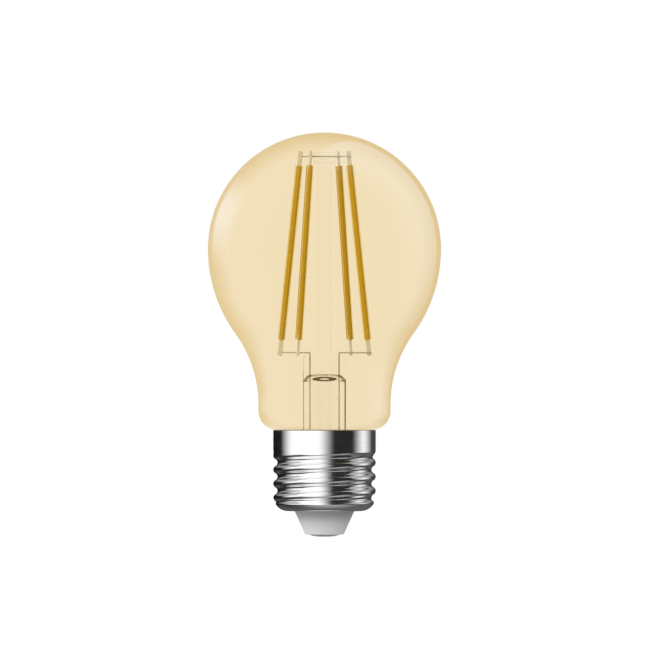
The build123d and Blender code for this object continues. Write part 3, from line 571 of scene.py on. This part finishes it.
def thread_tree(finish):
    """Geometry Nodes that roll a knuckle thread into a turned cup.

    The section of the thread is circular arcs of one radius, crest and root alike, and it runs
    out smoothly at both ends.
    """
    tree = bpy.data.node_groups.new("roll_thread", "GeometryNodeTree")
    tree.interface.new_socket("Geometry", in_out="INPUT", socket_type="NodeSocketGeometry")
    for name in ("Pitch", "Depth", "Arc", "Crest height", "Top", "Full top", "Full foot", "Foot"):
        tree.interface.new_socket(name, in_out="INPUT", socket_type="NodeSocketFloat")
    tree.interface.new_socket("Geometry", in_out="OUTPUT", socket_type="NodeSocketGeometry")
    given = node(tree, "NodeGroupInput").outputs
    pitch, depth, radius = given["Pitch"], given["Depth"], given["Arc"]
    x, y, z = three_parts(tree, node(tree, "GeometryNodeInputPosition").outputs[0])

    turn = maths(tree, "DIVIDE", maths(tree, "ARCTAN2", y, x), 2 * math.pi)
    climbed = maths(tree, "DIVIDE", maths(tree, "SUBTRACT", z, given["Crest height"]), pitch)
    turns_off = maths(tree, "PINGPONG", maths(tree, "SUBTRACT", climbed, turn), 0.5)
    from_crest = product(tree, turns_off, pitch)
    from_root = maths(tree, "SUBTRACT", product(tree, pitch, 0.5), from_crest)

    def rise(across):
        """Height of the arc's circle at a distance across from its middle."""
        square = maths(tree, "SUBTRACT", product(tree, radius, radius), product(tree, across, across))
        return maths(tree, "SQRT", maths(tree, "MAXIMUM", square, 0.0))

    crest = maths(tree, "SUBTRACT", radius, rise(from_crest))
    root = maths(tree, "ADD", maths(tree, "SUBTRACT", depth, radius), rise(from_root))
    in_root = maths(tree, "GREATER_THAN", from_crest, product(tree, pitch, 0.25))
    upper = between(tree, z, given["Top"], given["Full top"])
    lower = between(tree, z, given["Foot"], given["Full foot"])
    cut = product(tree, blend(tree, in_root, root, crest), upper, lower)

    reach = from_axis(tree, x, y)
    shrink = maths(tree, "DIVIDE", maths(tree, "SUBTRACT", reach, cut), reach)
    moved = node(tree, "ShaderNodeCombineXYZ")
    plug(tree, product(tree, x, shrink), moved.inputs[0])
    plug(tree, product(tree, y, shrink), moved.inputs[1])
    plug(tree, z, moved.inputs[2])
    set_position = node(tree, "GeometryNodeSetPosition")
    tree.links.new(given["Geometry"], set_position.inputs["Geometry"])
    tree.links.new(moved.outputs[0], set_position.inputs["Position"])
    realize = node(tree, "GeometryNodeRealizeInstances")
    tree.links.new(set_position.outputs[0], realize.inputs[0])
    paint = node(tree, "GeometryNodeSetMaterial")
    paint.inputs["Material"].default_value = finish
    tree.links.new(realize.outputs[0], paint.inputs["Geometry"])
    tree.links.new(paint.outputs[0], node(tree, "NodeGroupOutput").inputs[0])
    return tree


def apply_tree(piece, tree, sizes):
    """Runs a Geometry Nodes tree on a piece with its named sizes and keeps the plain mesh."""
    modifier = piece.modifiers.new(tree.name, "NODES")
    modifier.node_group = tree
    sockets = {item.name: item.identifier for item in tree.interface.items_tree if item.in_out == "INPUT"}
    for name, value in sizes.items():
        modifier[sockets[name]] = value
    bpy.context.view_layer.update()
    seen = piece.evaluated_get(bpy.context.evaluated_depsgraph_get())
    mesh = bpy.data.meshes.new_from_object(seen)
    piece.modifiers.clear()
    piece.data = mesh
    for face in mesh.polygons:
        face.use_smooth = True


def make_shell(finishes):
    """The screw shell, with its thread rolled in."""
    shell = lathe("cap_shell", shell_section(), 256, [finishes["shell_plating"]])
    sizes = {
        "Pitch": 3.629 * MM,
        "Depth": 1.095 * MM,
        "Arc": 1.025 * MM,
        "Crest height": 11.8 * MM,
        "Top": 22.4 * MM,
        "Full top": 19.6 * MM,
        "Full foot": 9.6 * MM,
        "Foot": 8.2 * MM,
    }
    apply_tree(shell, thread_tree(finishes["shell_plating"]), sizes)
    shell.data.set_sharp_from_angle(angle=math.radians(50))
    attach(shell, "root")
    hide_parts("screw_shell")


# ---------------------------------------------------------------- filaments
def middle(node_name):
    """The middle of a CAD node's box."""
    low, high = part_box(node_name)
    return (low + high) / 2


def rounded_bar(name, centre, along, across, length, width, depth, corner, end, finish):
    """A bar with rounded long edges and softened ends, along a direction."""
    thick = along.cross(across).normalized()
    corner_steps, end_steps = 5, 4
    rings = []
    places = []
    for step in range(end_steps + 1):
        turn = math.pi / 2 * step / end_steps
        places.append((-length / 2 + end * (1 - math.cos(turn)), end * (1 - math.sin(turn))))
    places += [(-place, pull) for place, pull in reversed(places)]
    points, faces = [], []
    for place, pull in places:
        ring = []
        for quarter in range(4):
            mid = math.pi / 2 * quarter + math.pi / 4
            side_x = 1 if math.cos(mid) > 0 else -1
            side_y = 1 if math.sin(mid) > 0 else -1
            for step in range(corner_steps + 1):
                angle = math.pi / 2 * (quarter + step / corner_steps)
                u = side_x * (width / 2 - corner) + (corner - pull) * math.cos(angle)
                v = side_y * (depth / 2 - corner) + (corner - pull) * math.sin(angle)
                ring.append(len(points))
                points.append(tuple(centre + along * place + across * u + thick * v))
        rings.append(ring)
    count = len(rings[0])
    for lower, upper in zip(rings, rings[1:]):
        for step in range(count):
            after = (step + 1) % count
            faces.append([lower[step], lower[after], upper[after], upper[step]])
    faces.append(list(reversed(rings[0])))
    faces.append(rings[-1])
    return new_piece(name, points, faces, [finish])


def make_filaments(finishes):
    """The phosphor bars: an amber core inside a thin clear edge of silicone.

    The inner pair is seen edge-on, with a dark seam down its left edge.
    """
    for number in range(1, 5):
        coat = f"filament_{number}_coat"
        low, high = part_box(coat)
        along = (middle(f"filament_{number}_upper_tab") - middle(f"filament_{number}_lower_tab")).normalized()
        outwards = Vector((along.x, along.y, 0.0)).normalized() * -1
        across = (outwards - along * outwards.dot(along)).normalized()
        thick = along.cross(across).normalized()
        width, depth = 1.66 * MM, 1.36 * MM
        length = (high.z - low.z - width * abs(across.z)) / along.z
        rightward = across * math.copysign(0.66, across.x) + thick * math.copysign(0.53, thick.x)

        def bar(name, centre, size, corner, end, finish):
            """One bar of a length, width and depth along this filament."""
            piece = rounded_bar(
                f"{name}_{number}", centre, along, across, *size, corner, end, finishes[finish]
            )
            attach(piece, "root")
            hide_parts(coat)

        bar("silicone", middle(coat), (length, width, depth), 0.18 * MM, 0.1 * MM, "phosphor_gel")
        core_size = (length - 0.1 * MM, 1.2 * MM, 0.95 * MM)
        core_shift = 0.12 * MM if number in INNER_PAIR else 0.0
        core = middle(coat) + rightward * core_shift
        bar("phosphor", core, core_size, 0.24 * MM, 0.1 * MM, "phosphor_coat")
        if number in INNER_PAIR:
            seam_size = (length - 0.2 * MM, 0.17 * MM, 0.17 * MM)
            seam = middle(coat) - rightward * MM
            bar("seam", seam, seam_size, 0.05 * MM, 0.05 * MM, "phosphor_coat")


# ---------------------------------------------------------------- top of the stem's bore
def make_bore_top(finishes):
    """The domed end of the stem's bore, and the mouth where the exhaust tube opens into it."""
    segments, steps = 96, 24
    foot, crown, brim, flat, fall = 39.9 * MM, 41.75 * MM, 5.4 * MM, 4.0 * MM, 0.12 * MM
    outside = [(0.0, crown)] + run((0.0, crown), (flat, crown - fall), 8)
    outside += [(4.7 * MM, 41.2 * MM), (5.15 * MM, 40.6 * MM), (brim, foot)]
    inside = [(brim - SHEET, foot), (4.85 * MM, 40.4 * MM), (4.5 * MM, 40.9 * MM)]
    inside += [(flat, crown - fall - SHEET), (0.0, crown - SHEET)]
    dome = lathe("stem_bore_top", outside + inside, segments, [finishes["dome_glass"]])
    wide, tall = 3.2 * MM, 0.58 * MM
    turns = [math.pi * step / steps for step in range(steps + 1)]
    section = [(wide * math.sin(turn), MOUTH_Z + tall * math.cos(turn)) for turn in turns]
    section[0], section[-1] = (0.0, MOUTH_Z + tall), (0.0, MOUTH_Z - tall)
    mouth = lathe("exhaust_mouth", section, segments, [finishes["mouth_glass"]])
    for piece in (dome, mouth):
        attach(piece, "root")


# ---------------------------------------------------------------- carried-over parts
def dress_parts(finishes):
    """Gives every CAD node the finish of its own slot, and a few a finish of their own."""
    for part in parts.values():
        for slot in part.material_slots:
            slot.material = finishes[slot.material.name.split(".")[0]]
    for name in ("exhaust_tube", "support_post", "top_bead"):
        parts[name].material_slots[0].material = finishes["fine_glass"]
    # Painted light: the inner pair's tabs get the paler copy of the tab metal.
    for number in INNER_PAIR:
        for end in ("lower", "upper"):
            tab = parts[f"filament_{number}_{end}_tab"]
            tab.material_slots[0].material = finishes["bright_tabs"]


# ---------------------------------------------------------------- studio
def make_floor():
    """A pale floor well below the lamp, open from underneath."""
    finish, tree, output = new_finish("pale_floor")
    paint = node(tree, "ShaderNodeBsdfDiffuse")
    tones = [(0.3, (0.90, 0.90, 0.90)), (0.7, (0.92, 0.92, 0.92))]
    plug(tree, ramp(tree, grain_of(tree, 6.0), tones), paint.inputs["Color"])
    clear = node(tree, "ShaderNodeBsdfTransparent")
    mix = node(tree, "ShaderNodeMixShader")
    plug(tree, node(tree, "ShaderNodeNewGeometry").outputs["Backfacing"], mix.inputs["Fac"])
    plug(tree, paint.outputs["BSDF"], mix.inputs[1])
    plug(tree, clear.outputs["BSDF"], mix.inputs[2])
    plug(tree, mix.outputs["Shader"], output.inputs["Surface"])
    half, height = 3.0, -250 * MM
    corners = [(-half, -half, height), (half, -half, height), (half, half, height), (-half, half, height)]
    floor = new_piece("floor", corners, [(0, 1, 2, 3)], [finish])
    floor.visible_glossy = False
    floor.visible_diffuse = False


def mirror_dome(name, centre, pieces, glows_of):
    """A dome of light cards far round the lamp that only the mirrors of some pieces see.

    glows_of gets the tree and the three parts of the direction from the centre, and gives
    pairs of (light colour, strength).
    """
    finish, tree, output = new_finish(name)
    from_centre = node(tree, "ShaderNodeVectorMath", operation="SUBTRACT")
    tree.links.new(place_on(tree), from_centre.inputs[0])
    from_centre.inputs[1].default_value = centre
    direction = node(tree, "ShaderNodeVectorMath", operation="NORMALIZE")
    tree.links.new(from_centre.outputs[0], direction.inputs[0])
    total = node(tree, "ShaderNodeBsdfTransparent").outputs[0]
    for colour, strength in glows_of(tree, *three_parts(tree, direction.outputs[0])):
        glow = node(tree, "ShaderNodeEmission")
        glow.inputs["Color"].default_value = (*colour, 1.0)
        plug(tree, strength, glow.inputs["Strength"])
        both = node(tree, "ShaderNodeAddShader")
        plug(tree, total, both.inputs[0])
        plug(tree, glow.outputs[0], both.inputs[1])
        total = both.outputs[0]
    plug(tree, total, output.inputs["Surface"])
    finish.cycles.emission_sampling = "NONE"
    section = arc((0, centre[2]), CARD_DISTANCE, 90, -90, 24)
    section[0] = (0.0, section[0][1])
    section[-1] = (0.0, section[-1][1])
    dome = lathe(name, section, 48, [finish])
    dome.visible_camera = False
    dome.visible_diffuse = False
    dome.visible_transmission = False
    dome.visible_volume_scatter = False
    dome.visible_shadow = False
    seers = bpy.data.collections.new("seers_of_" + name)
    for piece in pieces:
        seers.objects.link(piece)
    dome.light_linking.receiver_collection = seers


def shell_glow(tree, x, y, z):
    """A broad and a narrow upright white card with soft edges, and greys all round them."""
    around = degrees_of(tree, "ARCTAN2", x, product(tree, y, -1.0))
    broad = product(tree, window(tree, around, -119, -72, -20, 26), 1.15)
    narrow = product(tree, window(tree, around, 62, 104, 92, 140), 1.08)
    gap = between(tree, around, -60, 20, 0.006, 0.018)
    behind = between(tree, around, 100, 140, 0.0, 0.04)
    dark = maths(tree, "ADD", gap, behind)
    bands = maths(tree, "MAXIMUM", maths(tree, "ADD", broad, narrow), dark)
    tilt = math.radians(19)
    lifted, forwards = product(tree, z, math.sin(tilt)), product(tree, y, math.cos(tilt))
    towards_cards = maths(tree, "SUBTRACT", lifted, forwards)
    level = between(tree, maths(tree, "ABSOLUTE", z), 0.12, 0.45, 1.0, 0.0)
    on_cards = maths(tree, "MAXIMUM", between(tree, towards_cards, 0.36, 0.5), level)
    above = between(tree, y, -0.2, 0.8, 0.5, 0.3)
    below = between(tree, y, -0.4, 0.5, 0.33, 0.1)
    below = product(tree, below, maths(tree, "ADD", window(tree, x, -0.9, 0.0, 0.5, 0.95), 0.15))
    dim = blend(tree, between(tree, z, -0.1, 0.1), above, below)
    return [((1.0, 1.0, 1.0), blend(tree, on_cards, bands, dim))]


def bulb_glow(tree, x, y, z):
    """A soft box at the left, a broad one at the right with a sharp far edge, and dim surroundings."""
    from_front = degrees_of(tree, "ARCCOSINE", product(tree, y, -1.0))
    left_climb = degrees_of(tree, "ARCTAN2", z, product(tree, x, -1.0))
    right_climb = degrees_of(tree, "ARCTAN2", z, x)
    left = product(
        tree, window(tree, from_front, 98, 122, 145, 154), window(tree, left_climb, -12, 20, 22, 46)
    )
    slant = maths(tree, "SUBTRACT", y, product(tree, x, 2.1))
    right = product(
        tree,
        window(tree, from_front, 72, 104, 145, 149),
        between(tree, right_climb, -60, 32),
        between(tree, x, -0.1, 0.06),
        between(tree, slant, 0.44, 0.54, 1.0, 0.0),
    )
    side = between(tree, x, -0.4, 0.4, 0.5, 0.2)
    around = maths(tree, "ADD", product(tree, side, between(tree, from_front, 40, 110)), 0.08)
    return [((1.05, 1.6, 2.4), left), ((0.5, 0.85, 1.3), right), ((1.0, 0.97, 0.9), around)]


def even_glow(tree, x, y, z):
    """Even light, a little stronger from the left."""
    return [((1.0, 1.0, 1.0), between(tree, x, -1.0, 1.0, 0.8, 0.6))]


def light_mirrors():
    """Each kind of mirror gets its own cards."""
    pieces = [piece for piece in bpy.data.objects if piece.type == "MESH" and "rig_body" in piece]
    bulb, shell = bpy.data.objects["bulb_glass"], bpy.data.objects["cap_shell"]
    others = [piece for piece in pieces if piece not in (bulb, shell)]
    shell_z, bulb_z, lamp_z = 15 * MM, 74 * MM, 50 * MM
    mirror_dome("shell_cards", (0.0, 0.0, shell_z), [shell], shell_glow)
    mirror_dome("bulb_cards", (0.0, 0.0, bulb_z), [bulb], bulb_glow)
    mirror_dome("soft_cards", (0.0, 0.0, lamp_z), others, even_glow)


def make_sky():
    """White to the eye, black to mirrors, and even light, stronger from the left, for the rest."""
    world = bpy.data.worlds.new("studio")
    bpy.context.scene.world = world
    world.use_nodes = True
    tree = world.node_tree
    tree.nodes.clear()
    brightest = node(tree, "ShaderNodeVectorMath", operation="DOT_PRODUCT")
    tree.links.new(node(tree, "ShaderNodeTexCoord").outputs["Generated"], brightest.inputs[0])
    brightest.inputs[1].default_value = Vector((-0.8, -0.45, 0.15)).normalized()
    lit = between(tree, brightest.outputs["Value"], -1.0, 1.0, 0.45, 1.5, smooth=False)
    rays = node(tree, "ShaderNodeLightPath").outputs
    direct = maths(tree, "MAXIMUM", rays["Is Camera Ray"], rays["Is Transmission Ray"])
    unlit = maths(tree, "MAXIMUM", direct, rays["Is Glossy Ray"])
    level = maths(tree, "ADD", product(tree, lit, maths(tree, "SUBTRACT", 1.0, unlit)), direct)
    glow = node(tree, "ShaderNodeBackground")
    glow.inputs["Color"].default_value = (1.0, 1.0, 1.0, 1.0)
    plug(tree, level, glow.inputs["Strength"])
    plug(tree, glow.outputs[0], node(tree, "ShaderNodeOutputWorld").inputs["Surface"])


def set_studio():
    """White background, true colours."""
    bpy.context.scene.view_settings.view_transform = "Standard"
    bpy.context.scene.cycles.transparent_max_bounces = 48  # walls of glass in one line of sight
    make_sky()
    make_floor()


place_camera()
set_studio()
finishes = make_finishes()
dress_parts(finishes)
make_envelope(finishes)
make_shell(finishes)
make_filaments(finishes)
make_bore_top(finishes)
light_mirrors()
